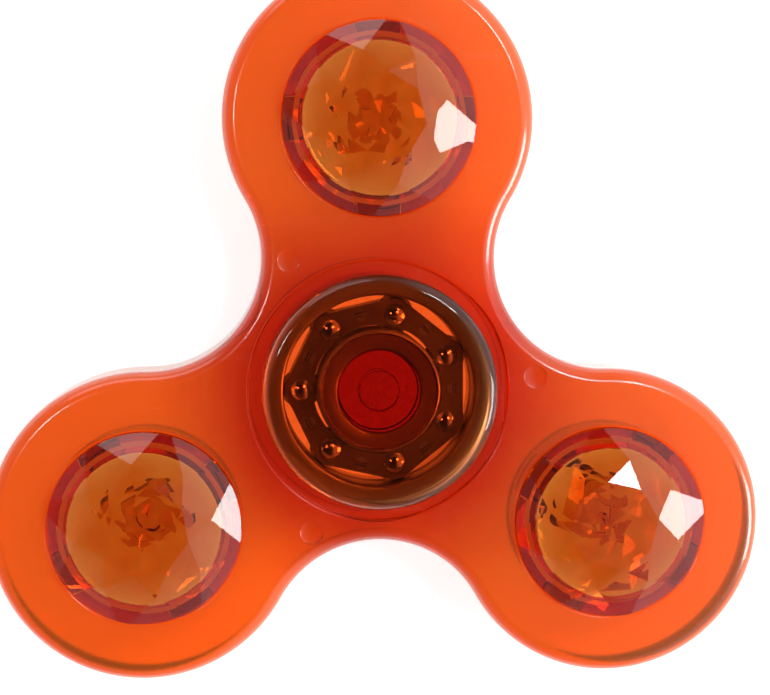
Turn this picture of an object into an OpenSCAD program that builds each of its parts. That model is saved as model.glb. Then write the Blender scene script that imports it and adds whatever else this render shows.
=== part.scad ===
// Three-lobed fidget spinner: a moulded body turning on a ball bearing between two finger caps,
// with a faceted gem and a back cover in each lobe.
// Units are millimetres. The spin axis is Z. The origin is on that axis, in the resting face of
// the bottom cap. +Y points along the first lobe, and lobes are numbered anticlockwise from it.

/* [Body] */
// Distance from the spin axis to the centre of each lobe
lobe_centre_radius = 26.4; // [25:0.1:32]
// Radius of each lobe's outline
lobe_radius = 15.15; // [13:0.05:18]
// Plastic between the caps' recess and the nearest wall of each finger bay
waist_wall = 2.2; // [1.6:0.1:6]
// Thickness of the body between its two faces
body_thickness = 8.6; // [7.8:0.1:12]
// Rounding of the body's outer edges
edge_round = 1.4; // [0.5:0.1:2.5]
// Gap round each cap in the shallow recess that it turns in
recess_gap = 1.3; // [0.6:0.1:2.5]
// Bevel at the mouth of each recess and seat
mouth_bevel = 0.25; // [0.1:0.05:0.5]

/* [Witness marks] */
// Distance from the recess's wall to the centre of each moulding witness mark
mark_reach = 2.7; // [1.6:0.1:4]
// Flat plastic between each mark and the rounded edge of the bay beside it
mark_wall = 0.14; // [0.1:0.01:1]
// Radius of each mark
mark_radius = 1.15; // [0.8:0.05:1.5]
// Depth of each mark
mark_depth = 0.15; // [0.05:0.05:0.4]

/* [Bearing] */
// Outer radius of the bearing, which the body's centre bore holds
bearing_outer_radius = 11; // [8:0.5:13]
// Bore radius of the bearing, which the caps' stems fill
bearing_bore_radius = 4; // [3:0.25:4.5]
// Width of the bearing
bearing_width = 7; // [5:0.5:8]
// Diameter of each ball
ball_diameter = 3.969; // [3:0.001:4.5]
// How far the inner ring's shoulders lie inside the circle through the balls' centres
inner_land_drop = 1.45; // [1:0.05:1.8]
// How far the outer ring's shoulders lie outside that circle
outer_land_rise = 1.8; // [1:0.05:1.9]
// Bevel on the rings' face edges
ring_bevel = 0.3; // [0.1:0.05:0.6]

/* [Cage] */
// How far each ball stands out of the cage's faces
ball_stand = 0.235; // [0.15:0.005:0.5]
// How far the cage's inner side lies inside the circle through the balls' centres
cage_inward = 1.15; // [0.9:0.05:1.25]
// How far the cage reaches outside that circle at each ball
cage_outward = 1.6; // [1.2:0.05:1.7]
// How far the cage's flat sides between the balls lie outside that circle
cage_flat = 0.9; // [0.7:0.05:1.3]
// Radius of each rivet's shank
rivet_radius = 0.4; // [0.25:0.05:0.5]
// Radius of each rivet's flush head
rivet_head_radius = 0.6; // [0.5:0.05:0.7]
// Depth of each rivet's flush head
rivet_head_depth = 0.25; // [0.1:0.05:0.4]

/* [Caps] */
// How far each finger cap reaches past the bearing
cap_overhang = 0.4; // [0.2:0.1:2]
// Thickness of each cap's disc
cap_thickness = 2.6; // [1.6:0.1:4]
// Rounding of each cap's outer edge
cap_round = 1; // [0.4:0.1:1.4]
// Bevel on the inner edge of each cap's disc and on the stems
cap_bevel = 0.3; // [0.1:0.05:0.4]
// How far the boss that rests on the inner ring stays inside that ring's shoulder
boss_inset = 0.45; // [0.3:0.05:1]
// Height of that boss, which keeps the cap clear of the outer ring
boss_height = 0.8; // [0.5:0.1:2]
// Gap between the ends of the two stems
stem_gap = 0.4; // [0.2:0.1:2]
// Radius of the pin that joins the caps
pin_radius = 2; // [1.2:0.1:2.6]
// How far the pin enters its socket
pin_grip = 2.6; // [1.5:0.1:3]
// Free depth past the end of the pin in its socket
socket_relief = 0.4; // [0.2:0.1:0.8]

/* [Pods] */
// Width of the ledge round the bore through each lobe
pod_ledge = 1.45; // [1.2:0.05:2]
// Radius of the seats that hold each gem and back cover
pod_seat_radius = 9.4; // [9:0.05:11]
// Depth of those seats
pod_seat_depth = 1.6; // [1.2:0.1:2.4]
// Width of each back cover's tabs
tab_width = 4; // [3:0.1:5]
// How far the tabs stay inside the seats' walls
tab_inset = 0.3; // [0.2:0.05:0.5]
// Thickness of the tabs
tab_thickness = 1.05; // [0.8:0.05:1.2]
// How far the tabs enter the gem
tab_grip = 0.8; // [0.4:0.1:1]
// Length of the moulded block in the middle of each back cover, along the lobe
block_length = 5.3; // [4:0.1:7]
// Width of that block
block_width = 4.6; // [4:0.1:6]
// Height of that block
block_height = 1.4; // [0.6:0.1:3]
// Corner rounding of that block
block_round = 0.9; // [0.3:0.1:1.5]
// Radius of the round dimple in the block
dimple_radius = 1.8; // [1:0.1:2]
// Depth of that dimple
dimple_depth = 0.5; // [0.2:0.1:1]

/* [Gems] */
// Radius to the corners of each gem's flat table
table_radius = 4.4; // [3.5:0.1:5]
// Radius to the corners between the gem's two rows of facets
mid_radius = 6.6; // [6:0.1:7.2]
// Height of the table above the body's face
table_height = 2.5; // [2:0.1:4]
// Height of the corners between the two rows of facets
mid_height = 1.95; // [1.5:0.05:3]
// How far the outer row of facets would run past the gem's rim, as a ratio
facet_overrun = 1.12; // [1.1:0.01:1.2]
// Radius of the hollow under the gem
hollow_radius = 7.4; // [5:0.1:7.6]
// Depth of the hollow, from the gem's underside
hollow_depth = 2.1; // [1:0.1:2.6]
// Turn of each gem about its own axis, counted from its lobe's line
gem_turn = [-8, 2, -6]; // [-22.5:0.5:22.5]

/* [Fits] */
// How much larger a pressed-in piece is than its seat, in radius
press_interference = 0.01; // [0:0.005:0.03]
// Running clearance between the balls and their grooves
groove_clearance = 0.02; // [0.01:0.005:0.05]
// Running clearance between the balls and the cage
pocket_clearance = 0.06; // [0.03:0.01:0.1]
// Clearance of the tabs in the body's slots
slot_clearance = 0.1; // [0.05:0.01:0.2]
// Clearance of the tabs in the gem and of the rivets in the cage
snug_clearance = 0.01; // [0.01:0.005:0.05]

/* [Hidden] */

AMBER = [0.95, 0.36, 0.06, 0.6];
DEEP_AMBER = [0.75, 0.16, 0.04, 0.7];
SMOKY_AMBER = [0.85, 0.5, 0.22, 0.5];
STEEL = [0.72, 0.72, 0.7];
DARK_STEEL = [0.45, 0.46, 0.44];

round_steps = 6;    // flats that make up each rounded edge
overcut = 1;        // how far a cutter runs past the surface it opens
side_cut = 0.2;     // how far an edge cutter starts outside the wall
arc_overlap = 0.02; // how far each bay's arc crosses the lobes' arcs, so that they don't only touch
cut_end = 0.75;     // degrees by which each edge rounding stops short of where a lobe meets a bay
lobes = 3;
first_lobe = 90;
facets = 8;
tabs = 4;
balls = 7;
first_ball = 180;

half = body_thickness / 2;
bearing_half = bearing_width / 2;
mid_z = cap_thickness + boss_height + bearing_half;
lobe_step = 360 / lobes;
pitch_radius = (bearing_outer_radius + bearing_bore_radius) / 2;
inner_land_radius = pitch_radius - inner_land_drop;
outer_land_radius = pitch_radius + outer_land_rise;
cage_inner_radius = pitch_radius - cage_inward;
cage_outer_radius = pitch_radius + cage_outward;
cage_flat_radius = pitch_radius + cage_flat;
cap_radius = bearing_outer_radius + cap_overhang;
boss_radius = inner_land_radius - boss_inset;
stem_length = (bearing_width - stem_gap) / 2;
recess_radius = cap_radius + recess_gap;

// Each bay's arc touches the two lobes beside it and comes no nearer to the axis than the waist.
waist_radius = recess_radius + waist_wall;
touching_radius = (pow(lobe_centre_radius, 2) - lobe_centre_radius * waist_radius
    + pow(waist_radius, 2) - pow(lobe_radius, 2))
    / (lobe_centre_radius + 2 * lobe_radius - 2 * waist_radius);
bay_centre_radius = waist_radius + touching_radius;
bay_radius = touching_radius + arc_overlap;
lobe_turn = atan2(bay_centre_radius * sin(lobe_step / 2),
    lobe_centre_radius - bay_centre_radius * cos(lobe_step / 2));
bay_turn = 180 - lobe_step / 2 - lobe_turn - cut_end;
mark_distance = recess_radius + mark_reach;
mark_turn = acos((pow(mark_distance, 2) + pow(bay_centre_radius, 2)
    - pow(bay_radius + edge_round + mark_wall + mark_radius, 2))
    / (2 * mark_distance * bay_centre_radius));
ball_radius = ball_diameter / 2;
cage_half_height = ball_radius - ball_stand;
groove_radius = ball_radius + groove_clearance;
pocket_radius = ball_radius + pocket_clearance;
stem_radius = bearing_bore_radius + press_interference;
rim_radius = pod_seat_radius + press_interference;
pod_bore_radius = pod_seat_radius - pod_ledge;
tab_outer_radius = pod_seat_radius - tab_inset;
tab_inner_radius = tab_outer_radius - tab_thickness;
seat_z = half - pod_seat_depth;

// Points along an arc about [x, y], from angle a to angle b.
function arc(x, y, r, a, b) = [
    for (i = [0:round_steps])
        [x + r * cos(a + (b - a) * i / round_steps), y + r * sin(a + (b - a) * i / round_steps)]
];

// A list without its first entry.
function past_first(list) = [for (i = [1:len(list) - 1]) list[i]];

// One ring of a gem's corners.
function corners(r, z, turn) = [
    for (i = [0:facets - 1])
        [r * cos(turn + 360 * i / facets), r * sin(turn + 360 * i / facets), z]
];

module at_lobe(i) {
    rotate(first_lobe + lobe_step * i)
        translate([lobe_centre_radius, 0, 0])
            children();
}

module at_bay(i) {
    rotate(first_lobe + lobe_step * (i + 0.5))
        translate([bay_centre_radius, 0, 0])
            children();
}

module at_ball(i) {
    rotate(first_ball + 360 * i / balls)
        translate([pitch_radius, 0, 0])
            children();
}

// ---- body ----

// What is cut away to round the upper edge of a lobe.
module lobe_edge() {
    rotate(lobe_turn + cut_end - 180)
        rotate_extrude(angle = 2 * (180 - lobe_turn - cut_end), $fn = 120)
            polygon(concat(
                [
                    [lobe_radius + side_cut, half + overcut],
                    [lobe_radius + side_cut, half - edge_round - side_cut / tan(45 / round_steps)]
                ],
                past_first(arc(lobe_radius - edge_round, half - edge_round, edge_round, 0, 90)),
                [[lobe_radius - edge_round, half + overcut]]
            ));
}

// The middle of the body: a six-sided plate through the lobe and bay centres, less the bays.
module web() {
    difference() {
        linear_extrude(body_thickness + 2 * overcut, center = true)
            polygon([
                for (i = [0:2 * lobes - 1])
                    (i % 2 == 0 ? lobe_centre_radius : bay_centre_radius)
                        * [cos(first_lobe + lobe_step * i / 2), sin(first_lobe + lobe_step * i / 2)]
            ]);
        for (i = [0:lobes - 1])
            at_bay(i)
                cylinder(h = body_thickness + 6 * overcut, r = bay_radius, center = true, $fn = 120);
    }
}

// What is cut away to round the upper edge of a bay.
module bay_edge() {
    rotate(180 - bay_turn)
        rotate_extrude(angle = 2 * bay_turn, $fn = 120)
            polygon(concat(
                [
                    [bay_radius - side_cut, half + overcut],
                    [bay_radius - side_cut, half - edge_round - side_cut / tan(45 / round_steps)]
                ],
                past_first(arc(bay_radius + edge_round, half - edge_round, edge_round, 180, 90)),
                [[bay_radius + edge_round, half + overcut]]
            ));
}

// What is cut for the bearing and for the cap on the upper side.
module hub_cut() {
    rotate_extrude($fn = 120)
        polygon([
            [0, -overcut],
            [bearing_outer_radius - press_interference, -overcut],
            [bearing_outer_radius - press_interference, bearing_half],
            [recess_radius, bearing_half],
            [recess_radius, half - mouth_bevel],
            [recess_radius + mouth_bevel + overcut, half + overcut],
            [0, half + overcut]
        ]);
}

// What is cut for the upper half of a pod: its bore and its seat.
module pod_cut() {
    rotate_extrude($fn = 120)
        polygon([
            [0, -overcut],
            [pod_bore_radius, -overcut],
            [pod_bore_radius, seat_z],
            [pod_seat_radius, seat_z],
            [pod_seat_radius, half - mouth_bevel],
            [pod_seat_radius + mouth_bevel + overcut, half + overcut],
            [0, half + overcut]
        ]);
}

// The outline of the four tabs, grown by a clearance.
module tab_outline(grow) {
    intersection() {
        difference() {
            circle(r = tab_outer_radius + grow, $fn = 120);
            circle(r = tab_inner_radius - grow, $fn = 120);
        }
        union() {
            for (i = [0:tabs / 2 - 1])
                rotate(180 * i / (tabs / 2))
                    square([3 * tab_outer_radius, tab_width + 2 * grow], center = true);
        }
    }
}

// The slots through a lobe's ledge, open to the bore.
module tab_slots() {
    intersection() {
        cylinder(h = 2 * seat_z + overcut, r = tab_outer_radius + slot_clearance, center = true, $fn = 120);
        union() {
            for (i = [0:tabs / 2 - 1])
                rotate(180 * i / (tabs / 2))
                    cube([3 * tab_outer_radius, tab_width + 2 * slot_clearance, 2 * body_thickness],
                        center = true);
        }
    }
}

module body() {
    color(AMBER)
        translate([0, 0, mid_z])
            difference() {
                intersection() {
                    union() {
                        web();
                        for (i = [0:lobes - 1])
                            at_lobe(i)
                                cylinder(h = body_thickness + 4 * overcut, r = lobe_radius,
                                    center = true, $fn = 120);
                    }
                    cube([4 * lobe_centre_radius, 4 * lobe_centre_radius, body_thickness], center = true);
                }
                for (side = [0, 1])
                    mirror([0, 0, side]) {
                        for (i = [0:lobes - 1]) {
                            at_bay(i)
                                bay_edge();
                            at_lobe(i) {
                                lobe_edge();
                                pod_cut();
                            }
                        }
                        hub_cut();
                    }
                for (i = [0:lobes - 1]) {
                    at_lobe(i)
                        tab_slots();
                    rotate(first_lobe - lobe_step / 2 - mark_turn + lobe_step * i)
                        translate([mark_distance, 0, half - mark_depth])
                            cylinder(h = overcut, r = mark_radius, $fn = 60);
                }
            }
}

// ---- pods ----

// The gem's outside, before its rim is turned round: three rings of corners joined by triangles.
module facet_block(turn) {
    outer = rim_radius * facet_overrun;
    shift = 180 / facets;
    n = facets;
    polyhedron(
        points = concat(
            corners(table_radius, half + table_height, turn),
            corners(mid_radius, half + mid_height, turn + shift),
            corners(outer, half, turn),
            corners(outer, seat_z, turn)
        ),
        faces = concat(
            [[for (i = [n - 1:-1:0]) i]],
            [for (i = [0:n - 1]) [i, (i + 1) % n, n + i]],
            [for (i = [0:n - 1]) [(i + 1) % n, n + (i + 1) % n, n + i]],
            [for (i = [0:n - 1]) [n + i, 2 * n + (i + 1) % n, 2 * n + i]],
            [for (i = [0:n - 1]) [n + i, n + (i + 1) % n, 2 * n + (i + 1) % n]],
            [for (i = [0:n - 1]) [2 * n + i, 2 * n + (i + 1) % n, 3 * n + (i + 1) % n]],
            [for (i = [0:n - 1]) [2 * n + i, 3 * n + (i + 1) % n, 3 * n + i]],
            [[for (i = [0:n - 1]) 3 * n + i]]
        )
    );
}

module gem(i) {
    color(SMOKY_AMBER)
        translate([0, 0, mid_z])
            at_lobe(i)
                difference() {
                    intersection() {
                        facet_block(gem_turn[i]);
                        translate([0, 0, seat_z])
                            cylinder(h = table_height + 2 * half, r = rim_radius, $fn = 120);
                    }
                    translate([0, 0, seat_z - overcut])
                        cylinder(h = hollow_depth + overcut, r = hollow_radius, $fn = 120);
                    translate([0, 0, seat_z - overcut])
                        linear_extrude(tab_grip + overcut)
                            tab_outline(snug_clearance);
                }
}

module back_cover(i) {
    color(SMOKY_AMBER)
        translate([0, 0, mid_z])
            at_lobe(i)
                difference() {
                    union() {
                        rotate_extrude($fn = 120)
                            polygon([
                                [0, -half],
                                [rim_radius - cap_bevel, -half],
                                [rim_radius, cap_bevel - half],
                                [rim_radius, -seat_z],
                                [0, -seat_z]
                            ]);
                        translate([0, 0, -half + cap_bevel])
                            linear_extrude(half - cap_bevel + seat_z + tab_grip)
                                tab_outline(0);
                        translate([0, 0, -half + cap_bevel])
                            linear_extrude(pod_seat_depth - cap_bevel + block_height)
                                block_outline();
                    }
                    translate([0, 0, block_height - seat_z - dimple_depth])
                        cylinder(h = dimple_depth + overcut, r = dimple_radius, $fn = 60);
                }
}

module block_outline() {
    x = block_length / 2 - block_round;
    y = block_width / 2 - block_round;
    polygon(concat(
        arc(x, y, block_round, 0, 90),
        arc(-x, y, block_round, 90, 180),
        arc(-x, -y, block_round, 180, 270),
        arc(x, -y, block_round, 270, 360)
    ));
}

// ---- caps ----

// A cap standing on its outer face: disc, boss and stem.
module cap_blank() {
    top = cap_thickness + boss_height + stem_length;
    rotate_extrude($fn = 120)
        polygon(concat(
            [[0, 0]],
            arc(cap_radius - cap_round, cap_round, cap_round, -90, 0),
            [
                [cap_radius, cap_thickness - cap_bevel],
                [cap_radius - cap_bevel, cap_thickness],
                [boss_radius, cap_thickness],
                [boss_radius, cap_thickness + boss_height],
                [stem_radius, cap_thickness + boss_height],
                [stem_radius, top - cap_bevel],
                [stem_radius - cap_bevel, top],
                [0, top]
            ]
        ));
}

module cap_bottom() {
    tip = 2 * mid_z - cap_thickness - boss_height - stem_length + pin_grip;
    color(DEEP_AMBER)
        union() {
            cap_blank();
            rotate_extrude($fn = 90)
                polygon([
                    [0, cap_thickness],
                    [pin_radius, cap_thickness],
                    [pin_radius, tip - cap_bevel],
                    [pin_radius - cap_bevel, tip],
                    [0, tip]
                ]);
        }
}

module cap_top() {
    color(DEEP_AMBER)
        translate([0, 0, 2 * mid_z])
            mirror([0, 0, 1])
                difference() {
                    cap_blank();
                    translate([0, 0, cap_thickness + boss_height + stem_length - pin_grip - socket_relief])
                        cylinder(h = pin_grip + socket_relief + overcut,
                            r = pin_radius - press_interference, $fn = 90);
                }
}

// ---- bearing ----

// A plain ring with beveled face edges, less the groove that the balls run in.
module grooved_ring(inner, outer) {
    translate([0, 0, mid_z])
        difference() {
            rotate_extrude($fn = 120)
                polygon([
                    [inner + ring_bevel, -bearing_half],
                    [outer - ring_bevel, -bearing_half],
                    [outer, ring_bevel - bearing_half],
                    [outer, bearing_half - ring_bevel],
                    [outer - ring_bevel, bearing_half],
                    [inner + ring_bevel, bearing_half],
                    [inner, bearing_half - ring_bevel],
                    [inner, ring_bevel - bearing_half]
                ]);
            rotate_extrude($fn = 120)
                translate([pitch_radius, 0])
                    circle(r = groove_radius, $fn = 90);
        }
}

module outer_ring() {
    color(STEEL)
        grooved_ring(outer_land_radius, bearing_outer_radius);
}

module inner_ring() {
    color(STEEL)
        grooved_ring(bearing_bore_radius, inner_land_radius);
}

module rivet(grow) {
    rotate_extrude($fn = 48)
        polygon([
            [0, -cage_half_height],
            [rivet_head_radius + grow, -cage_half_height],
            [rivet_radius + grow, rivet_head_depth - cage_half_height],
            [rivet_radius + grow, cage_half_height - rivet_head_depth],
            [rivet_head_radius + grow, cage_half_height],
            [0, cage_half_height]
        ]);
}

// Each half of the cage: a flat-sided ring with a pocket over each ball.
module cage_half(side) {
    color(DARK_STEEL)
        translate([0, 0, mid_z])
            mirror([0, 0, side])
                difference() {
                    linear_extrude(cage_half_height)
                        difference() {
                            intersection() {
                                rotate(first_ball)
                                    circle(r = cage_flat_radius / cos(180 / balls), $fn = balls);
                                circle(r = cage_outer_radius, $fn = 120);
                            }
                            circle(r = cage_inner_radius, $fn = 120);
                        }
                    for (i = [0:balls - 1]) {
                        at_ball(i)
                            sphere(r = pocket_radius, $fn = 90);
                        at_ball(i + 0.5)
                            rivet(snug_clearance);
                    }
                }
}

module cage_rivets() {
    color(STEEL)
        translate([0, 0, mid_z])
            for (i = [0:balls - 1])
                at_ball(i + 0.5)
                    rivet(0);
}

module ball(i) {
    color(STEEL)
        translate([0, 0, mid_z])
            at_ball(i)
                sphere(r = ball_radius, $fn = 90);
}

body();
gem(0);  // gem_1
gem(1);  // gem_2
gem(2);  // gem_3
back_cover(0);  // back_cover_1
back_cover(1);  // back_cover_2
back_cover(2);  // back_cover_3
cap_top();
cap_bottom();
outer_ring();
inner_ring();
cage_half(0);  // cage_upper
cage_half(1);  // cage_lower
cage_rivets();
ball(0);  // ball_1
ball(1);  // ball_2
ball(2);  // ball_3
ball(3);  // ball_4
ball(4);  // ball_5
ball(5);  // ball_6
ball(6);  // ball_7
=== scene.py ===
"""Three-lobed fidget spinner: the visual pieces, their materials and the stage.

Sizes are in metres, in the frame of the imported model: the spin axis is Z, and the bottom cap
rests on the floor at height zero.
"""
import math

import bmesh
import bpy
import numpy as np
from mathutils import Matrix, Vector


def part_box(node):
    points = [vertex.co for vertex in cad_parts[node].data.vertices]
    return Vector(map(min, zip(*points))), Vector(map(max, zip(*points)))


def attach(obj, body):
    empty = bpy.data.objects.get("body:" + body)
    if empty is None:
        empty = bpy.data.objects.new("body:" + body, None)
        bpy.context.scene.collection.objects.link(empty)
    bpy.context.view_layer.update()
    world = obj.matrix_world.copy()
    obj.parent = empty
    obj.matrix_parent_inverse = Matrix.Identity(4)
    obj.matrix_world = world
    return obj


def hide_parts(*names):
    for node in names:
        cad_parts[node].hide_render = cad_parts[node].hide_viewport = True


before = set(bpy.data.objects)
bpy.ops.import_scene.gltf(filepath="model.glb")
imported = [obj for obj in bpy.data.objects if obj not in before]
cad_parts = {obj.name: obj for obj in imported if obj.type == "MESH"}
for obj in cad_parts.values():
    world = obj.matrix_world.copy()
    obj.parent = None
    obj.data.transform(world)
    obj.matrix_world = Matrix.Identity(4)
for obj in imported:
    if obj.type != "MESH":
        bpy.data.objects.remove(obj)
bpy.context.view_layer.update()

bl_info = {
    "name": "Fidget Spinner Maker",
    "version": (1, 0, 0),
    "blender": (4, 5, 0),
    "location": "3D View > Sidebar > Spinner",
    "description": "Builds a see-through spinner with faceted gems around its packed frame",
    "category": "Add Mesh",
}

MM = 0.001
LOBES = 3
FACETS = 8
TABS = 4
BALLS = 7
OVERLAP = 0.5 * MM  # how deep a shape reaches into the one it is combined with
LAMP_AIM = Vector((0, 0, 0.01))

# The heights and centres that pieces share with the frame.
BODY_LOW, BODY_HIGH = (corner.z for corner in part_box("body"))
MID = (BODY_LOW + BODY_HIGH) / 2
HALF = (BODY_HIGH - BODY_LOW) / 2
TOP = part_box("cap_top")[1].z
RING_LOW, RING_HIGH = (corner.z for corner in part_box("outer_ring"))
SEAT_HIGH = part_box("gem_1")[0].z
SEAT_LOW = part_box("back_cover_1")[0].z + (BODY_HIGH - SEAT_HIGH)
LOBE_CENTRES = [
    (sum(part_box(f"gem_{i + 1}"), Vector()) / 2).to_2d() for i in range(LOBES)
]


def length(name, default, description):
    """A size in metres, given here in millimetres."""
    return bpy.props.FloatProperty(
        name=name, description=description, default=default * MM, unit="LENGTH", precision=5
    )


def colour(name, default, description):
    """A linear colour without alpha."""
    return bpy.props.FloatVectorProperty(
        name=name, description=description, default=default, size=3, min=0, max=1, subtype="COLOR"
    )


def number(name, default, description):
    """A plain number."""
    return bpy.props.FloatProperty(name=name, description=description, default=default, min=0)


class BodySizes(bpy.types.PropertyGroup):
    """Sizes of the moulded body."""

    lobe_centre: length("Lobe centre", 26.4, "Distance from the spin axis to each lobe's centre")
    lobe_radius: length("Lobe radius", 15.138, "Radius of each lobe's outline")
    bay_centre: length("Bay centre", 25.9, "Distance from the spin axis to each finger bay's centre")
    edge_round: length("Edge rounding", 1.4, "Rounding of the outer edges")
    recess_radius: length("Recess radius", 12.7, "Radius of the recess round each cap")
    bore_radius: length("Bore radius", 11.02, "Radius of the bore that holds the bearing")
    mouth_round: length("Mouth rounding", 0.3, "Rounding at the mouth of each recess and seat")
    mark_distance: length("Mark distance", 15.4, "Distance from the spin axis to each witness mark")
    mark_angle: bpy.props.FloatProperty(
        name="Mark angle", description="Angle of the first witness mark from the +X axis",
        default=math.radians(4.6), subtype="ANGLE",
    )
    mark_radius: length("Mark radius", 1.15, "Radius of each witness mark")
    mark_depth: length("Mark depth", 0.15, "Depth of each witness mark")


class PodSizes(bpy.types.PropertyGroup):
    """Sizes of the gems, the back covers and the seats that hold them."""

    bore_radius: length("Bore radius", 7.95, "Radius of the bore through each lobe")
    seat_radius: length("Seat radius", 9.4, "Radius of the seats at both ends of that bore")
    rim_gap: length("Rim gap", 0.02, "Gap between a seat and what stands in it")
    table_radius: length("Table radius", 4.4, "Radius to the corners of each gem's table")
    middle_radius: length("Middle radius", 6.6, "Radius to the corners between the rows of facets")
    table_height: length("Table height", 2.5, "Height of the table above the body")
    middle_height: length("Middle height", 1.95, "Height of the corners between the rows of facets")
    overrun: number("Facet overrun", 1.12, "How far the outer facets would run past the rim, as a ratio")
    turns: bpy.props.FloatVectorProperty(
        name="Gem turns", description="Turn of each gem about its own axis", size=LOBES,
        default=tuple(math.radians(a) for a in (-8, 2, -6)), subtype="EULER",
    )
    facet_edge: length("Facet edge", 0.06, "Width of the softened edges between facets")
    hollow_radius: length("Hollow radius", 7.4, "Radius of the hollow under each gem")
    hollow_depth: length("Hollow depth", 2.1, "Depth of that hollow")
    roof_fold: length("Roof fold", 0.2, "Half the height of the folds in that hollow's roof")
    tab_width: length("Tab width", 4, "Width of the back covers' tabs")
    tab_outer: length("Tab outer radius", 9.1, "Outer radius of the tabs")
    tab_inner: length("Tab inner radius", 8.05, "Inner radius of the tabs")
    tab_grip: length("Tab grip", 0.8, "How far the tabs enter the gem")
    tab_gap: length("Tab gap", 0.1, "Clearance of the tabs in the body")
    block_length: length("Block length", 5.3, "Length of the block on each back cover")
    block_width: length("Block width", 4.6, "Width of that block")
    block_height: length("Block height", 1.4, "Height of that block")
    block_round: length("Block rounding", 0.9, "Corner rounding of that block")
    dimple_radius: length("Dimple radius", 1.8, "Radius of the dimple in that block")
    dimple_depth: length("Dimple depth", 0.5, "Depth of that dimple")
    cover_round: length("Cover rounding", 0.3, "Rounding of the back covers' outer edge")


class HubSizes(bpy.types.PropertyGroup):
    """Sizes of the finger caps and of the bearing."""

    cap_radius: length("Cap radius", 11.4, "Radius of each finger cap")
    cap_thickness: length("Cap thickness", 2.6, "Thickness of each cap's disc")
    cap_round: length("Cap rounding", 1, "Rounding of each cap's outer edge")
    inner_round: length("Inner rounding", 0.3, "Rounding of the discs' inner edges")
    boss_radius: length("Boss radius", 5.6, "Radius of the boss on each cap")
    boss_height: length("Boss height", 0.79, "Height of that boss")
    stem_radius: length("Stem radius", 3.98, "Radius of each cap's stem")
    stem_length: length("Stem length", 3.3, "Length of each stem in the bearing")
    pin_radius: length("Pin radius", 1.96, "Radius of the pin that joins the caps")
    pin_gap: length("Pin gap", 0.03, "Gap round that pin")
    pin_grip: length("Pin grip", 2.6, "How far the pin enters the upper cap")
    pin_relief: length("Pin relief", 0.4, "Free depth past the end of the pin")
    ring_outer: length("Ring outer radius", 11, "Outer radius of the bearing")
    ring_bore: length("Ring bore radius", 4, "Bore radius of the bearing")
    ring_round: length("Ring rounding", 0.3, "Rounding of the rings' face edges")
    outer_land: length("Outer land", 9.3, "Inner radius of the outer ring beside its groove")
    inner_land: length("Inner land", 6.05, "Outer radius of the inner ring beside its groove")
    pitch: length("Pitch radius", 7.5, "Radius of the circle through the balls' centres")
    ball_diameter: length("Ball diameter", 3.969, "Diameter of each ball")
    groove_gap: length("Groove gap", 0.02, "Clearance between the balls and their grooves")


class Finishes(bpy.types.PropertyGroup):
    """Colours and depths of colour."""

    amber: colour("Amber", (0.98, 0.78, 0.01), "What the body's plastic lets through")
    amber_depth: number("Amber depth", 900, "How fast the body takes up the other colours, per metre")
    # Painted shade: the darker colour painted into the body near the bearing, where the bearing shades it.
    painted_hub_shade: colour("Hub painted shade", (0.66, 0.13, 0.08), "How the body's plastic deepens near the bearing")
    deep_amber: colour("Deep amber", (0.855, 0.44, 0.02), "What the caps' plastic lets through")
    deep_depth: number("Deep amber depth", 900, "How fast the caps take up the other colours, per metre")
    gem: colour("Gem", (0.93, 0.60, 0.06), "What the gems' plastic lets through")
    gem_depth: number("Gem depth", 2000, "How fast the gems take up the other colours, per metre")
    cover: colour("Cover", (0.85, 0.56, 0.06), "What the back covers' plastic lets through")
    cover_depth: number("Cover depth", 1150, "How fast the back covers take up the other colours, per metre")
    steel: colour("Steel", (0.78, 0.75, 0.68), "Ground steel of the rings")
    dark_steel: colour("Dark steel", (0.55, 0.52, 0.46), "Pressed steel of the cage")
    bright_steel: colour("Bright steel", (0.86, 0.86, 0.85), "Polished steel of the balls")


class StageSettings(bpy.types.PropertyGroup):
    """The camera, the lamps and the floor."""

    camera_height: length("Camera height", 180, "Height of the camera over the body's middle")
    camera_aside: length("Camera aside", -13.3, "Distance of the camera from the axis, to the right")
    camera_ahead: length("Camera ahead", 18.5, "How far the camera stands towards the first lobe")
    aim_aside: length("Aim aside", 0.9, "How far the camera aims to the right of the axis")
    aim_ahead: length("Aim ahead", 3.9, "How far the camera aims towards the first lobe")
    lens: number("Lens", 85, "Focal length in millimetres")
    floor_half: length("Floor half width", 1500, "Half the width of the floor")
    sky: number("Sky", 0.6, "Brightness of the surroundings near the horizon")
    zenith: number("Zenith", 0.05, "Brightness straight overhead, as a share of the horizon's")
    right_side: number("Right side", 1.2, "Brightness of the surroundings to the right")
    table_glow: number("Table glow", 0.73, "Brightness of the light table under the spinner")


# ---- surfaces ----


def arc(x, z, radius, start, end, steps):
    """Points on a circle round (x, z), from one angle to another in degrees."""
    a = np.radians(np.linspace(start, end, steps + 1))
    return np.stack([x + radius * np.cos(a), z + radius * np.sin(a)], axis=1)


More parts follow.
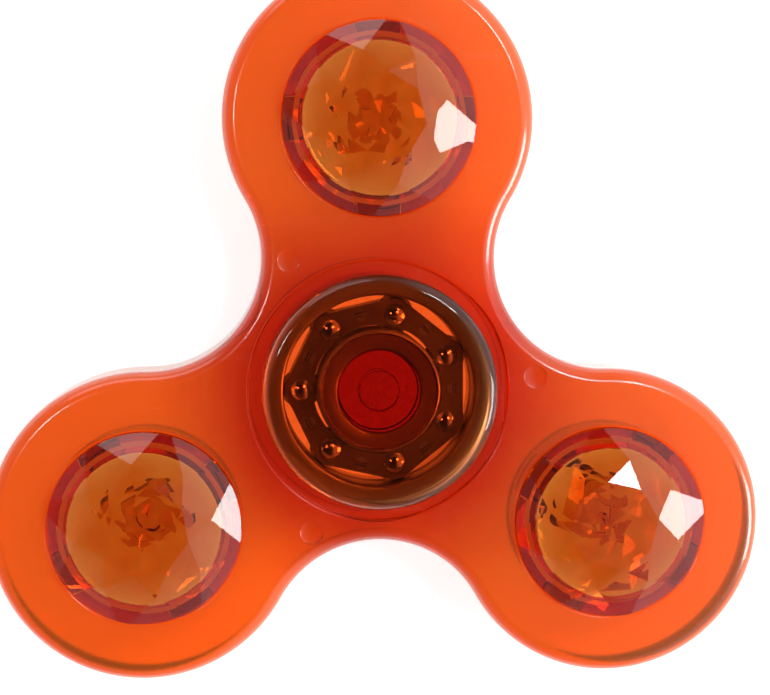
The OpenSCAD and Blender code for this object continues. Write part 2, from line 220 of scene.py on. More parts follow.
def softened(points, radius, steps=5, closed=False):
    """A polyline with each corner replaced by a circular arc that touches both its sides.

    The arc is worked out as a turn from one touching point to the other about the centre, which
    lies on the corner's bisector. Radius may be one value or one for each point, and a closed
    line's first point is a corner too.
    """
    here = np.asarray(points, float)
    radius = np.broadcast_to(np.asarray(radius, float), len(here))[:, None]
    before, after = np.roll(here, 1, axis=0), np.roll(here, -1, axis=0)
    back, on = before - here, after - here
    back_length = np.linalg.norm(back, axis=1, keepdims=True)
    on_length = np.linalg.norm(on, axis=1, keepdims=True)
    back, on = back / back_length, on / on_length
    cosine = np.clip((back * on).sum(axis=1, keepdims=True), -0.9999, 0.9999)
    half_angle = np.arccos(cosine) / 2
    room = 0.49 * np.minimum(back_length, on_length)
    reach = np.minimum(radius / np.tan(half_angle), room)
    bisector = back + on
    bisector = bisector / np.linalg.norm(bisector, axis=1, keepdims=True)
    centre = here + bisector * reach / np.cos(half_angle)
    first, last = here + back * reach - centre, here + on * reach - centre
    turn = np.pi - 2 * half_angle
    share = np.linspace(0, 1, steps + 1)[None, :, None]
    bend = turn[:, :, None]
    around = (
        np.sin((1 - share) * bend) * first[:, None] + np.sin(share * bend) * last[:, None]
    ) / np.sin(bend)
    rounded = centre[:, None] + around
    if not closed:
        rounded[0] = here[0]
        rounded[-1] = here[-1]
    return rounded.reshape(-1, 2)


def grid_faces(rows, columns, wrap_rows):
    """Quads between neighbouring rows of a grid whose columns go all the way round."""
    row = np.arange(rows if wrap_rows else rows - 1)[:, None]
    column = np.arange(columns)[None, :]
    up, along = (row + 1) % rows, (column + 1) % columns
    corners = [row * columns + column, row * columns + along, up * columns + along, up * columns + column]
    return np.stack([np.broadcast_to(c, (len(row), columns)) for c in corners], axis=-1).reshape(-1, 4)


def revolved(profile, steps, centre=(0, 0), closed=False):
    """A profile of (radius, height) points carried round a vertical axis.

    A point is (x + r cos a, y + r sin a, z). An open profile starts and ends on the axis.
    """
    a = np.arange(steps) * 2 * np.pi / steps
    r, z = profile[:, :1], profile[:, 1:]
    x = centre[0] + r * np.cos(a)
    y = centre[1] + r * np.sin(a)
    points = np.stack([x, y, np.broadcast_to(z, x.shape)], axis=-1).reshape(-1, 3)
    return points, grid_faces(len(profile), steps, closed).tolist()


def folded_cutter(radius, low, high, fold, turn, centre, rings=4, columns=13):
    """A cutter whose roof is folded into flat triangles.

    A corner is (x + r cos a, y + r sin a, z), where z = high + fold (1 + cos(2.4 j + 1.7 k)) for
    corner j of ring k, and z = high on the outermost ring.
    """
    r = np.linspace(radius, 0, rings + 1)
    profile = np.vstack([[0, low], [radius, low], np.column_stack([r, np.full(rings + 1, high)])])
    points, faces = revolved(profile, columns)
    points = points.reshape(len(profile), columns, 3)
    k, j = np.indices((rings - 1, columns))
    points[3:-1, :, 2] += fold * (1 + np.cos(2.4 * j + 1.7 * k))
    faces = np.array(faces)
    triangles = np.vstack([faces[:, [0, 1, 2]], faces[:, [0, 2, 3]]])
    points = points.reshape(-1, 3)
    points[:, :2] = turned(points[:, :2], turn, centre)
    return points, triangles.tolist()


def prism(outline, low, high):
    """An outline of (x, y) points carried straight up, with flat ends."""
    count = len(outline)
    rings = [np.column_stack([outline, np.full(count, z)]) for z in (low, high)]
    faces = grid_faces(2, count, False).tolist()
    return np.concatenate(rings), faces + [list(range(count)), list(range(count, 2 * count))]


def together(*shapes):
    """Several shapes as one list of points and one of faces."""
    points, faces, base = [], [], 0
    for shape_points, shape_faces in shapes:
        points.append(shape_points)
        faces += [[base + index for index in face] for face in shape_faces]
        base += len(shape_points)
    return np.concatenate(points), faces


def turned(points, angle, centre=(0, 0)):
    """Flat points turned about the origin and then moved to a centre."""
    c, s = math.cos(angle), math.sin(angle)
    return points @ np.array([[c, s], [-s, c]]) + np.array(centre)


def lobe_angle(i):
    """Direction of a lobe's line. The first lobe points along +Y."""
    return math.pi / 2 + i * 2 * math.pi / LOBES


def body_outline(sizes, lobe_steps=108, bay_steps=44):
    """Centre, radius, bend and direction at each point of the body's outline, anticlockwise.

    Each lobe's arc meets the next bay's arc on the line between their centres, so the two
    share a tangent there. Bend is +1 on a lobe and -1 on a bay.
    """
    sixth = math.pi / LOBES
    apart = math.sqrt(
        sizes.lobe_centre**2 + sizes.bay_centre**2 - sizes.lobe_centre * sizes.bay_centre
    )
    turn = math.atan2(
        sizes.bay_centre * math.sin(sixth), sizes.lobe_centre - sizes.bay_centre * math.cos(sixth)
    )
    parts = []
    for i in range(LOBES):
        lobe_line, bay_line = lobe_angle(i), lobe_angle(i) + sixth
        sweep, bay_sweep = math.pi - turn, math.pi - sixth - turn
        for line, distance, radius, bend, start, end, steps in (
            (lobe_line, sizes.lobe_centre, sizes.lobe_radius, 1, -sweep, sweep, lobe_steps),
            (bay_line, sizes.bay_centre, apart - sizes.lobe_radius, -1,
             math.pi + bay_sweep, math.pi - bay_sweep, bay_steps),
        ):
            a = line + np.linspace(start, end, steps, endpoint=False)
            middle = distance * np.array([math.cos(line), math.sin(line)])
            parts.append(np.column_stack([
                np.broadcast_to(middle, (steps, 2)), np.full(steps, radius),
                np.full(steps, bend), np.cos(a), np.sin(a),
            ]))
    return np.concatenate(parts)


def body_shell(sizes, round_steps=8):
    """The body's outside: its outline, moved inwards and upwards along the edge's profile.

    A point is centre + (radius - bend * inset) * direction, at the profile's height, so every
    inset outline is made of true arcs again. The flat faces close the two ends.
    """
    outline = body_outline(sizes)
    r = sizes.edge_round
    low = arc(r, r - HALF, r, -90, -180, round_steps)
    profile = np.concatenate([low, low[::-1] * [1, -1]])
    inset, height = profile[:, :1], profile[:, 1:]
    reach = outline[:, 2] - outline[:, 3] * inset
    x = outline[:, 0] + reach * outline[:, 4]
    y = outline[:, 1] + reach * outline[:, 5]
    points = np.stack([x, y, np.broadcast_to(MID + height, x.shape)], axis=-1).reshape(-1, 3)
    rows, columns = len(profile), len(outline)
    faces = grid_faces(rows, columns, False).tolist()
    last = (rows - 1) * columns
    return points, faces + [list(range(columns)), list(range(last, last + columns))]


def mouth(radius, rounding, beyond, side):
    """The upper end of a cutter that leaves a rounded mouth, from its wall to above the face.

    Side is +1 at the top and -1 at the bottom. The arc stops a little short of level and runs
    on straight, so that the cutter crosses the face at an angle.
    """
    shallow = 14
    curve = arc(radius + rounding, HALF - rounding, rounding, 180, 90 + shallow, 5)
    tilt = math.radians(shallow)
    leave = curve[-1] + 0.5 * MM * np.array([math.cos(tilt), math.sin(tilt)])
    ended = np.vstack([curve, leave, [leave[0], HALF + beyond]])
    return (ended * [1, side]) + [0, MID]


def stepped_cutter(bore, seat, seat_depth, rounding, centre):
    """What is cut for a bore with a wider, round-mouthed seat at each end."""
    beyond = 1 * MM
    upper = mouth(seat, rounding, beyond, 1)
    lower = mouth(seat, rounding, beyond, -1)
    profile = np.vstack([
        [[0, MID - HALF - beyond]], lower[::-1],
        [[seat, MID - HALF + seat_depth], [bore, MID - HALF + seat_depth]],
        [[bore, MID + HALF - seat_depth], [seat, MID + HALF - seat_depth]],
        upper, [[0, MID + HALF + beyond]],
    ])
    return revolved(profile, 144, centre)


def tab_outline(inner, outer, width):
    """One tab, seen from above: two parallel sides between an inner and an outer arc."""
    a = math.degrees(math.asin(width / 2 / outer))
    b = math.degrees(math.asin(width / 2 / inner))
    return np.vstack([arc(0, 0, outer, -a, a, 12), arc(0, 0, inner, b, -b, 12)])


def tab_prisms(inner, outer, width, low, high, i):
    """The tabs of one lobe, a quarter turn apart."""
    flat = tab_outline(inner, outer, width)
    return together(*(
        prism(turned(flat, lobe_angle(i) + k * 2 * math.pi / TABS, LOBE_CENTRES[i]), low, high)
        for k in range(TABS)
    ))


def facet_block(sizes, i):
    """The gem's outside before its rim is turned: three rings of corners joined by triangles.

    The table's and the rim's corners share one set of directions, and the middle ring's
    corners lie half a step further round.
    """
    step = 2 * np.pi / FACETS
    a = lobe_angle(i) + sizes.turns[i] + np.arange(FACETS) * step
    outer = sizes.seat_radius * sizes.overrun
    rings = (
        (sizes.table_radius, BODY_HIGH + sizes.table_height, 0),
        (sizes.middle_radius, BODY_HIGH + sizes.middle_height, step / 2),
        (outer, BODY_HIGH, 0),
        (outer, SEAT_HIGH + sizes.rim_gap, 0),
    )
    centre = LOBE_CENTRES[i]
    points = np.concatenate([
        np.column_stack([
            centre[0] + r * np.cos(a + shift), centre[1] + r * np.sin(a + shift), np.full(FACETS, z)
        ]) for r, z, shift in rings
    ])
    n = FACETS
    k = np.arange(n)
    on = (k + 1) % n
    triangles = np.concatenate([
        np.stack([k, on, n + k], axis=1), np.stack([on, n + on, n + k], axis=1),
        np.stack([n + k, 2 * n + on, 2 * n + k], axis=1), np.stack([n + k, n + on, 2 * n + on], axis=1),
    ])
    sides = np.stack([2 * n + k, 2 * n + on, 3 * n + on, 3 * n + k], axis=1)
    return points, triangles.tolist() + sides.tolist() + [k.tolist(), (3 * n + k).tolist()]


def grooved_ring(sizes, inner, outer, facing):
    """A bearing ring's closed profile: a softened rectangle with the balls' groove in one side.

    Facing is +1 when the groove is in the outer side and -1 when it is in the inner side.
    """
    r = sizes.ball_diameter / 2 + sizes.groove_gap
    land = outer if facing > 0 else inner
    half_angle = math.degrees(math.acos(abs(land - sizes.pitch) / r))
    groove = arc(sizes.pitch, MID, r, 180 - half_angle, 180 + half_angle, 24)
    if facing < 0:
        groove = arc(sizes.pitch, MID, r, -half_angle, half_angle, 24)
    corners = np.array([[inner, RING_LOW], [outer, RING_LOW], [outer, RING_HIGH], [inner, RING_HIGH]])
    bent = softened(corners, sizes.ring_round, 4, closed=True)
    if facing > 0:
        return np.vstack([bent[:10], groove[::-1], bent[10:]])
    return np.vstack([bent, groove[::-1]])


def ball_surface(centre, radius, rows=40, columns=64):
    """A sphere whose poles lie on its vertical axis: latitude by longitude."""
    a = np.radians(np.linspace(-90, 90, rows + 1))
    profile = np.column_stack([radius * np.cos(a), centre[2] + radius * np.sin(a)])
    profile[[0, -1], 0] = 0
    return revolved(profile, columns, centre[:2])


# ---- from surfaces to pieces ----


def cleaned(mesh):
    """Joins doubled points, so that poles and seams close, and turns every face outwards."""
    edit = bmesh.new()
    edit.from_mesh(mesh)
    bmesh.ops.remove_doubles(edit, verts=edit.verts, dist=0.0004 * MM)
    bmesh.ops.dissolve_degenerate(edit, edges=edit.edges, dist=0.0004 * MM)
    bmesh.ops.recalc_face_normals(edit, faces=edit.faces)
    edit.to_mesh(mesh)
    edit.free()


def solid(name, shape):
    """An object in the scene made from points and faces."""
    points, faces = shape
    mesh = bpy.data.meshes.new(name)
    mesh.from_pydata(points.tolist(), [], faces)
    cleaned(mesh)
    made = bpy.data.objects.new(name, mesh)
    bpy.context.scene.collection.objects.link(made)
    return made


def settled(piece):
    """Writes a piece's modifiers into its mesh."""
    bpy.context.view_layer.update()
    graph = bpy.context.evaluated_depsgraph_get()
    mesh = bpy.data.meshes.new_from_object(piece.evaluated_get(graph))
    piece.modifiers.clear()
    old, piece.data = piece.data, mesh
    bpy.data.meshes.remove(old)
    mesh.name = piece.name


def combined(piece, shape, operation="DIFFERENCE"):
    """Cuts a shape from a piece, joins it on, or keeps only what the two share."""
    tool = solid("tool", shape)
    step = piece.modifiers.new("combine", "BOOLEAN")
    step.solver = "EXACT"
    step.operation = operation
    step.object = tool
    settled(piece)
    bpy.data.objects.remove(tool)
    cleaned(piece.data)


def shaded(piece, sharp_from=32):
    """Smooth shading that keeps real corners crisp and flat faces flat."""
    piece.data.shade_smooth()
    piece.data.set_sharp_from_angle(angle=math.radians(sharp_from))
    even = piece.modifiers.new("even", "WEIGHTED_NORMAL")
    even.keep_sharp = True
    settled(piece)


def eased(piece, width, angle, segments=2):
    """Softens every edge that turns by more than an angle in degrees."""
    ease = piece.modifiers.new("ease", "BEVEL")
    ease.width = width
    ease.segments = segments
    ease.limit_method = "ANGLE"
    ease.angle_limit = math.radians(angle)
    ease.use_clamp_overlap = True
    settled(piece)


def placed(piece, body, node, material):
    """Gives a piece its material and its body, and hides the node that it stands for."""
    piece.data.materials.clear()
    piece.data.materials.append(material)
    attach(piece, body)
    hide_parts(node)


# ---- shader groups ----


def group_node(name, inputs, outputs):
    """A new shader node group, and the sockets that bring its inputs and take its outputs."""
    group = bpy.data.node_groups.new(name, "ShaderNodeTree")
    for label, kind, value in inputs:
        socket = group.interface.new_socket(
            name=label, in_out="INPUT", socket_type="NodeSocket" + kind
        )
        if value is not None:
            socket.default_value = value
    for label, kind in outputs:
        group.interface.new_socket(
            name=label, in_out="OUTPUT", socket_type="NodeSocket" + kind
        )
    given = group.nodes.new("NodeGroupInput").outputs
    return group, given, group.nodes.new("NodeGroupOutput").inputs


def node(tree, kind, **settings):
    """A node with its own settings, and values for the inputs named in 'inputs'."""
    made = tree.nodes.new(kind)
    values = settings.pop("inputs", {})
    for key, value in settings.items():
        setattr(made, key, value)
    for key, value in values.items():
        made.inputs[key].default_value = value
    return made


def scuffs_group():
    """Fine handling scratches: noise stretched along two directions, kept only at its peaks."""
    if "Fine_Scuffs" in bpy.data.node_groups:
        return bpy.data.node_groups["Fine_Scuffs"]
    group, given, result = group_node(
        "Fine_Scuffs",
        [("Coordinates", "Vector", None), ("Scale", "Float", 900.0),
         ("Smooth", "Float", 0.03), ("Worn", "Float", 0.12)],
        [("Mask", "Float"), ("Roughness", "Float")],
    )
    link = group.links.new
    masks = []
    for turn, stretch in ((0.6, (1, 0.03, 0.4)), (2.1, (0.04, 1, 0.5))):
        mapping = node(group, "ShaderNodeMapping",
                       inputs={"Rotation": (0.2, 0.1, turn), "Scale": stretch})
        noise = node(group, "ShaderNodeTexNoise", inputs={"Detail": 4.0, "Roughness": 0.55})
        ramp = node(group, "ShaderNodeMapRange",
                    inputs={"From Min": 0.6, "From Max": 0.74, "To Min": 0.0, "To Max": 1.0})
        link(given["Coordinates"], mapping.inputs["Vector"])
        link(mapping.outputs[0], noise.inputs["Vector"])
        link(given["Scale"], noise.inputs["Scale"])
        link(noise.outputs["Fac"], ramp.inputs["Value"])
        masks.append(ramp)
    both = node(group, "ShaderNodeMath", operation="MAXIMUM")
    link(masks[0].outputs[0], both.inputs[0])
    link(masks[1].outputs[0], both.inputs[1])
    rough = node(group, "ShaderNodeMapRange")
    link(both.outputs[0], rough.inputs["Value"])
    link(given["Smooth"], rough.inputs["To Min"])
    link(given["Worn"], rough.inputs["To Max"])
    link(both.outputs[0], result["Mask"])
    link(rough.outputs[0], result["Roughness"])
    return group


def flow_group():
    """Slow waves that moulding leaves in plastic: wide noise for height and for tone."""
    if "Mould_Flow" in bpy.data.node_groups:
        return bpy.data.node_groups["Mould_Flow"]
    group, given, result = group_node(
        "Mould_Flow",
        [("Coordinates", "Vector", None), ("Scale", "Float", 90.0),
         ("Light", "Color", (1, 1, 1, 1)), ("Dark", "Color", (1, 0.9, 0.8, 1))],
        [("Colour", "Color"), ("Height", "Float")],
    )
    link = group.links.new
    noise = node(group, "ShaderNodeTexNoise",
                 inputs={"Detail": 2.0, "Roughness": 0.4, "Distortion": 0.6})
    mix = node(group, "ShaderNodeMix", data_type="RGBA")
    link(given["Coordinates"], noise.inputs["Vector"])
    link(given["Scale"], noise.inputs["Scale"])
    link(noise.outputs["Fac"], mix.inputs["Factor"])
    link(given["Light"], mix.inputs[6])
    link(given["Dark"], mix.inputs[7])
    link(mix.outputs[2], result["Colour"])
    link(noise.outputs["Fac"], result["Height"])
    return group


def grinding_group():
    """Grinding lines: noise of the distance from the spin axis, with a little of the height."""
    if "Grinding" in bpy.data.node_groups:
        return bpy.data.node_groups["Grinding"]
    group, given, result = group_node(
        "Grinding",
        [("Coordinates", "Vector", None), ("Scale", "Float", 9000.0),
         ("Light", "Color", (1, 1, 1, 1)), ("Dark", "Color", (0.5, 0.5, 0.5, 1)),
         ("Smooth", "Float", 0.2), ("Rough", "Float", 0.4)],
        [("Colour", "Color"), ("Roughness", "Float"), ("Height", "Float")],
    )
    link = group.links.new
    split = node(group, "ShaderNodeSeparateXYZ")
    flat = node(group, "ShaderNodeCombineXYZ")
    reach = node(group, "ShaderNodeVectorMath", operation="LENGTH")
    line = node(group, "ShaderNodeCombineXYZ")
    noise = node(group, "ShaderNodeTexNoise", inputs={"Detail": 3.0, "Roughness": 0.7})
    mix = node(group, "ShaderNodeMix", data_type="RGBA")
    rough = node(group, "ShaderNodeMapRange", inputs={"From Min": 0.3, "From Max": 0.7})
    link(given["Coordinates"], split.inputs[0])
    link(split.outputs["X"], flat.inputs["X"])
    link(split.outputs["Y"], flat.inputs["Y"])
    link(flat.outputs[0], reach.inputs[0])
    link(reach.outputs["Value"], line.inputs["X"])
    link(split.outputs["Z"], line.inputs["Y"])
    link(line.outputs[0], noise.inputs["Vector"])
    link(given["Scale"], noise.inputs["Scale"])
    link(noise.outputs["Fac"], mix.inputs["Factor"])
    link(given["Light"], mix.inputs[6])
    link(given["Dark"], mix.inputs[7])
    link(noise.outputs["Fac"], rough.inputs["Value"])
    link(given["Smooth"], rough.inputs["To Min"])
    link(given["Rough"], rough.inputs["To Max"])
    link(mix.outputs[2], result["Colour"])
    link(rough.outputs[0], result["Roughness"])
    link(noise.outputs["Fac"], result["Height"])
    return group


def painted_shade_group():
    """A mask for painted shade round the bearing: 1 near the spin axis, fading to 0 along the lobes, with
    uneven borders.
    """
    if "Hub_Painted_Shade" in bpy.data.node_groups:
        return bpy.data.node_groups["Hub_Painted_Shade"]
    group, given, result = group_node(
        "Hub_Painted_Shade",
        [("Coordinates", "Vector", None), ("Full", "Float", 13 * MM),
         ("None", "Float", 27 * MM), ("Uneven", "Float", 6 * MM)],
        [("Mask", "Float")],
    )
    link = group.links.new
    flat = node(group, "ShaderNodeVectorMath", operation="MULTIPLY", inputs={1: (1, 1, 0)})
    reach = node(group, "ShaderNodeVectorMath", operation="LENGTH")
    noise = node(group, "ShaderNodeTexNoise", inputs={"Scale": 110.0, "Detail": 2.0})
    shift = node(group, "ShaderNodeMath", operation="MULTIPLY")
    total = node(group, "ShaderNodeMath", operation="ADD")
    fade = node(group, "ShaderNodeMapRange", interpolation_type="SMOOTHSTEP",
                inputs={"To Min": 1.0, "To Max": 0.0})
    link(given["Coordinates"], flat.inputs[0])
    link(flat.outputs[0], reach.inputs[0])
    link(given["Coordinates"], noise.inputs["Vector"])
    link(noise.outputs["Fac"], shift.inputs[0])
    link(given["Uneven"], shift.inputs[1])
    link(reach.outputs["Value"], total.inputs[0])
    link(shift.outputs[0], total.inputs[1])
    link(total.outputs[0], fade.inputs["Value"])
    link(given["Full"], fade.inputs["From Min"])
    link(given["None"], fade.inputs["From Max"])
    link(fade.outputs[0], result["Mask"])
    return group


# ---- materials ----


def material_base(name, **constants):
    """A new material's tree, with its shader, output and Object coordinates.

    Constants go to the shader's inputs, with underscores for the spaces in their names.
    """
    made = bpy.data.materials.new(name)
    made.use_nodes = True
    tree = made.node_tree
    tree.nodes.clear()
    output = node(tree, "ShaderNodeOutputMaterial")
    shader = node(tree, "ShaderNodeBsdfPrincipled")
    for key, value in constants.items():
        shader.inputs[key.replace("_", " ")].default_value = value
    place = node(tree, "ShaderNodeTexCoord")
    tree.links.new(shader.outputs[0], output.inputs["Surface"])
    return made, tree, shader, output, place.outputs["Object"]


def placed_group(tree, group, coordinates, **values):
    """A group in a material, reading the coordinates, with this material's own values."""
    made = node(tree, "ShaderNodeGroup", node_tree=group)
    tree.links.new(coordinates, made.inputs["Coordinates"])
    for key, value in values.items():
        made.inputs[key].default_value = value
    return made


def bumped(tree, shader, height, distance):
    """Feeds a height into a shader's normal."""
    bump = node(tree, "ShaderNodeBump", inputs={"Distance": distance, "Strength": 1.0})
    tree.links.new(height, bump.inputs["Height"])
    tree.links.new(bump.outputs[0], shader.inputs["Normal"])


def shades(value, share):
    """A colour and a darker share of it."""
    return tuple(value), tuple(c * share for c in value)


def tinted_plastic(name, through, depth, light, dark, smooth, worn, wave, index=1.5, gloss=0.0,
                   clear=1.0, painted_hub_shade=None):
    """See-through plastic: its colour deepens with thickness, and its skin has waves and scuffs.

    Gloss adds a smooth skin over plastic that is cloudy inside, and clear is the share of the light
    that passes through without being scattered. A hub shade darkens the colour near the spin axis: painted
    shade where the bearing shades the body.
    """
    if name in bpy.data.materials:
        return bpy.data.materials[name]
    made, tree, shader, output, place = material_base(
        name, Transmission_Weight=clear, IOR=index, Coat_Weight=gloss, Coat_Roughness=0.03
    )
    flow = placed_group(tree, flow_group(), place, Scale=85.0, Light=(*light, 1), Dark=(*dark, 1))
    scuffs = placed_group(tree, scuffs_group(), place, Smooth=smooth, Worn=worn)
    base = flow.outputs["Colour"]
    # Painted shade: the body's colour is darkened near the spin axis, where the bearing shades it.
    if painted_hub_shade:
        near = placed_group(tree, painted_shade_group(), place)
        shade_darken = node(tree, "ShaderNodeMix", data_type="RGBA", blend_type="MULTIPLY",
                      inputs={7: (*painted_hub_shade, 1)})
        tree.links.new(near.outputs["Mask"], shade_darken.inputs["Factor"])
        tree.links.new(base, shade_darken.inputs[6])
        base = shade_darken.outputs[2]
    tree.links.new(base, shader.inputs["Base Color"])
    tree.links.new(scuffs.outputs["Roughness"], shader.inputs["Roughness"])
    bumped(tree, shader, flow.outputs["Height"], wave)
    volume = node(tree, "ShaderNodeVolumeAbsorption", inputs={"Color": (*through, 1), "Density": depth})
    tree.links.new(volume.outputs[0], output.inputs["Volume"])
    return made


def turned_steel(name, light, dark, smooth, rough, scale, depth):
    """Steel with grinding lines round the spin axis."""
    if name in bpy.data.materials:
        return bpy.data.materials[name]
    made, tree, shader, _, place = material_base(name, Metallic=1.0)
    lines = placed_group(tree, grinding_group(), place, Scale=scale, Light=(*light, 1),
                         Dark=(*dark, 1), Smooth=smooth, Rough=rough)
    tree.links.new(lines.outputs["Colour"], shader.inputs["Base Color"])
    tree.links.new(lines.outputs["Roughness"], shader.inputs["Roughness"])
    bumped(tree, shader, lines.outputs["Height"], depth)
    return made


def polished_steel(name, bright):
    """Polished steel with faint wear."""
    if name in bpy.data.materials:
        return bpy.data.materials[name]
    made, tree, shader, _, place = material_base(name, Metallic=1.0)
    _, dull = shades(bright, 0.82)
    flow = placed_group(tree, flow_group(), place, Scale=600.0, Light=(*bright, 1), Dark=(*dull, 1))
    scuffs = placed_group(tree, scuffs_group(), place, Scale=2600.0, Smooth=0.14, Worn=0.3)
    tree.links.new(flow.outputs["Colour"], shader.inputs["Base Color"])
    tree.links.new(scuffs.outputs["Roughness"], shader.inputs["Roughness"])
    return made


def amber_plastic(scene):
    look = scene.spinner_finishes
    # The body gets painted shade round the bearing through its hub shade colour.
    return tinted_plastic("Amber_Plastic", look.amber, look.amber_depth, (1, 0.37, 0.05),
                          (1, 0.33, 0.04), 0.2, 0.28, 0.03 * MM, gloss=0.4, clear=0.84,
                          painted_hub_shade=tuple(look.painted_hub_shade))


def cap_plastic(scene):
    look = scene.spinner_finishes
    return tinted_plastic("Deep_Amber_Plastic", look.deep_amber, look.deep_depth, (1, 0.92, 0.86),
                          (1, 0.85, 0.75), 0.02, 0.1, 0.02 * MM)


def gem_plastic(scene):
    look = scene.spinner_finishes
    return tinted_plastic("Gem_Plastic", look.gem, look.gem_depth, (1, 0.99, 0.97),
                          (1, 0.97, 0.93), 0.01, 0.06, 0.01 * MM, 1.55)


def cover_plastic(scene):
    look = scene.spinner_finishes
    return tinted_plastic("Cover_Plastic", look.cover, look.cover_depth, (1, 0.97, 0.92),
                          (1, 0.92, 0.84), 0.03, 0.12, 0.02 * MM)


# ---- operators ----


class SPINNER_OT_body(bpy.types.Operator):
    """Make the moulded body with its bores, seats, slots and witness marks"""

    bl_idname = "spinner.body"
    bl_label = "Body"

    def execute(self, context):
        sizes, pods = context.scene.spinner_body, context.scene.spinner_pods
        piece = solid("moulded_body", body_shell(sizes))
        seat_depth = BODY_HIGH - SEAT_HIGH
        hub = stepped_cutter(sizes.bore_radius, sizes.recess_radius, BODY_HIGH - RING_HIGH,
                             sizes.mouth_round, (0, 0))
        wells = [
            stepped_cutter(pods.bore_radius, pods.seat_radius, seat_depth, sizes.mouth_round, centre)
            for centre in LOBE_CENTRES
        ]
        marks = []
        for i in range(LOBES):
            a = sizes.mark_angle + i * 2 * math.pi / LOBES
            at = (sizes.mark_distance * math.cos(a), sizes.mark_distance * math.sin(a))
            floor = BODY_HIGH - sizes.mark_depth
            profile = softened([[0, floor], [sizes.mark_radius, floor],
                                [sizes.mark_radius, BODY_HIGH + MM], [0, BODY_HIGH + MM]],
                               [0, 0.08 * MM, 0, 0], 3)
            marks.append(revolved(profile, 48, at))
        combined(piece, together(hub, *wells, *marks))
        slots = [
            tab_prisms(pods.tab_inner - 0.6 * MM, pods.tab_outer + pods.tab_gap,
                       pods.tab_width + 2 * pods.tab_gap, SEAT_LOW - 0.2 * MM, SEAT_HIGH + 0.2 * MM, i)
            for i in range(LOBES)
        ]
        combined(piece, together(*slots))
        shaded(piece)
        placed(piece, "spinner", "body", amber_plastic(context.scene))
        return {"FINISHED"}


class SPINNER_OT_gems(bpy.types.Operator):
    """Make the faceted gem in each lobe"""

    bl_idname = "spinner.gems"
    bl_label = "Gems"

    def execute(self, context):
        sizes = context.scene.spinner_pods
        rim = sizes.seat_radius - sizes.rim_gap
        for i, centre in enumerate(LOBE_CENTRES):
            piece = solid(f"faceted_gem_{i + 1}", facet_block(sizes, i))
            low, high = SEAT_HIGH - MM, BODY_HIGH + sizes.table_height + MM
            round_rim = np.array([[0, low], [rim, low], [rim, high], [0, high]])
            combined(piece, revolved(round_rim, 144, centre), "INTERSECT")
            roof = SEAT_HIGH + sizes.hollow_depth
            hollow = softened([[0, low], [sizes.hollow_radius, low], [sizes.hollow_radius, roof], [0, roof]],
                              [0, 0, 0.25 * MM, 0], 4)
            combined(piece, revolved(hollow, 96, centre))
            combined(piece, folded_cutter(sizes.hollow_radius - 0.6 * MM, roof - OVERLAP,
                                          roof + 0.02 * MM, sizes.roof_fold, 1.3 * i, centre))
            combined(piece, tab_prisms(sizes.tab_inner - sizes.rim_gap, sizes.tab_outer + sizes.rim_gap,
                                       sizes.tab_width + 2 * sizes.rim_gap, low,
                                       SEAT_HIGH + sizes.tab_grip + sizes.rim_gap, i))
            eased(piece, sizes.facet_edge, 7)
            shaded(piece, 24)
            placed(piece, "spinner", f"gem_{i + 1}", gem_plastic(context.scene))
        return {"FINISHED"}


class SPINNER_OT_back_covers(bpy.types.Operator):
    """Make the back cover of each lobe, with its tabs and its dimpled block"""

    bl_idname = "spinner.back_covers"
    bl_label = "Back covers"

    def execute(self, context):
        sizes = context.scene.spinner_pods
        rim = sizes.seat_radius - sizes.rim_gap
        top = SEAT_LOW - sizes.rim_gap
        for i, centre in enumerate(LOBE_CENTRES):
            disc = softened([[0, BODY_LOW], [rim, BODY_LOW], [rim, top], [0, top]],
                            [0, sizes.cover_round, 0.05 * MM, 0], 5)
            piece = solid(f"back_cover_piece_{i + 1}", revolved(disc, 144, centre))
            combined(piece, tab_prisms(sizes.tab_inner, sizes.tab_outer, sizes.tab_width,
                                       BODY_LOW + OVERLAP, SEAT_HIGH + sizes.tab_grip, i), "UNION")
            x, y = sizes.block_length / 2, sizes.block_width / 2
            flat = softened([[x, y], [-x, y], [-x, -y], [x, -y]], sizes.block_round, 6, closed=True)
            flat = turned(flat, lobe_angle(i), centre)
            combined(piece, prism(flat, BODY_LOW + OVERLAP, SEAT_LOW + sizes.block_height), "UNION")
            roof = SEAT_LOW + sizes.block_height
            floor = roof - sizes.dimple_depth
            dimple = softened([[0, floor], [sizes.dimple_radius, floor], [sizes.dimple_radius, roof + MM],
                               [0, roof + MM]], [0, 0.2 * MM, 0, 0], 4)
            combined(piece, revolved(dimple, 64, centre))
            eased(piece, 0.08 * MM, 40)
            shaded(piece, 30)
            placed(piece, "spinner", f"back_cover_{i + 1}",
                   cover_plastic(context.scene))
        return {"FINISHED"}


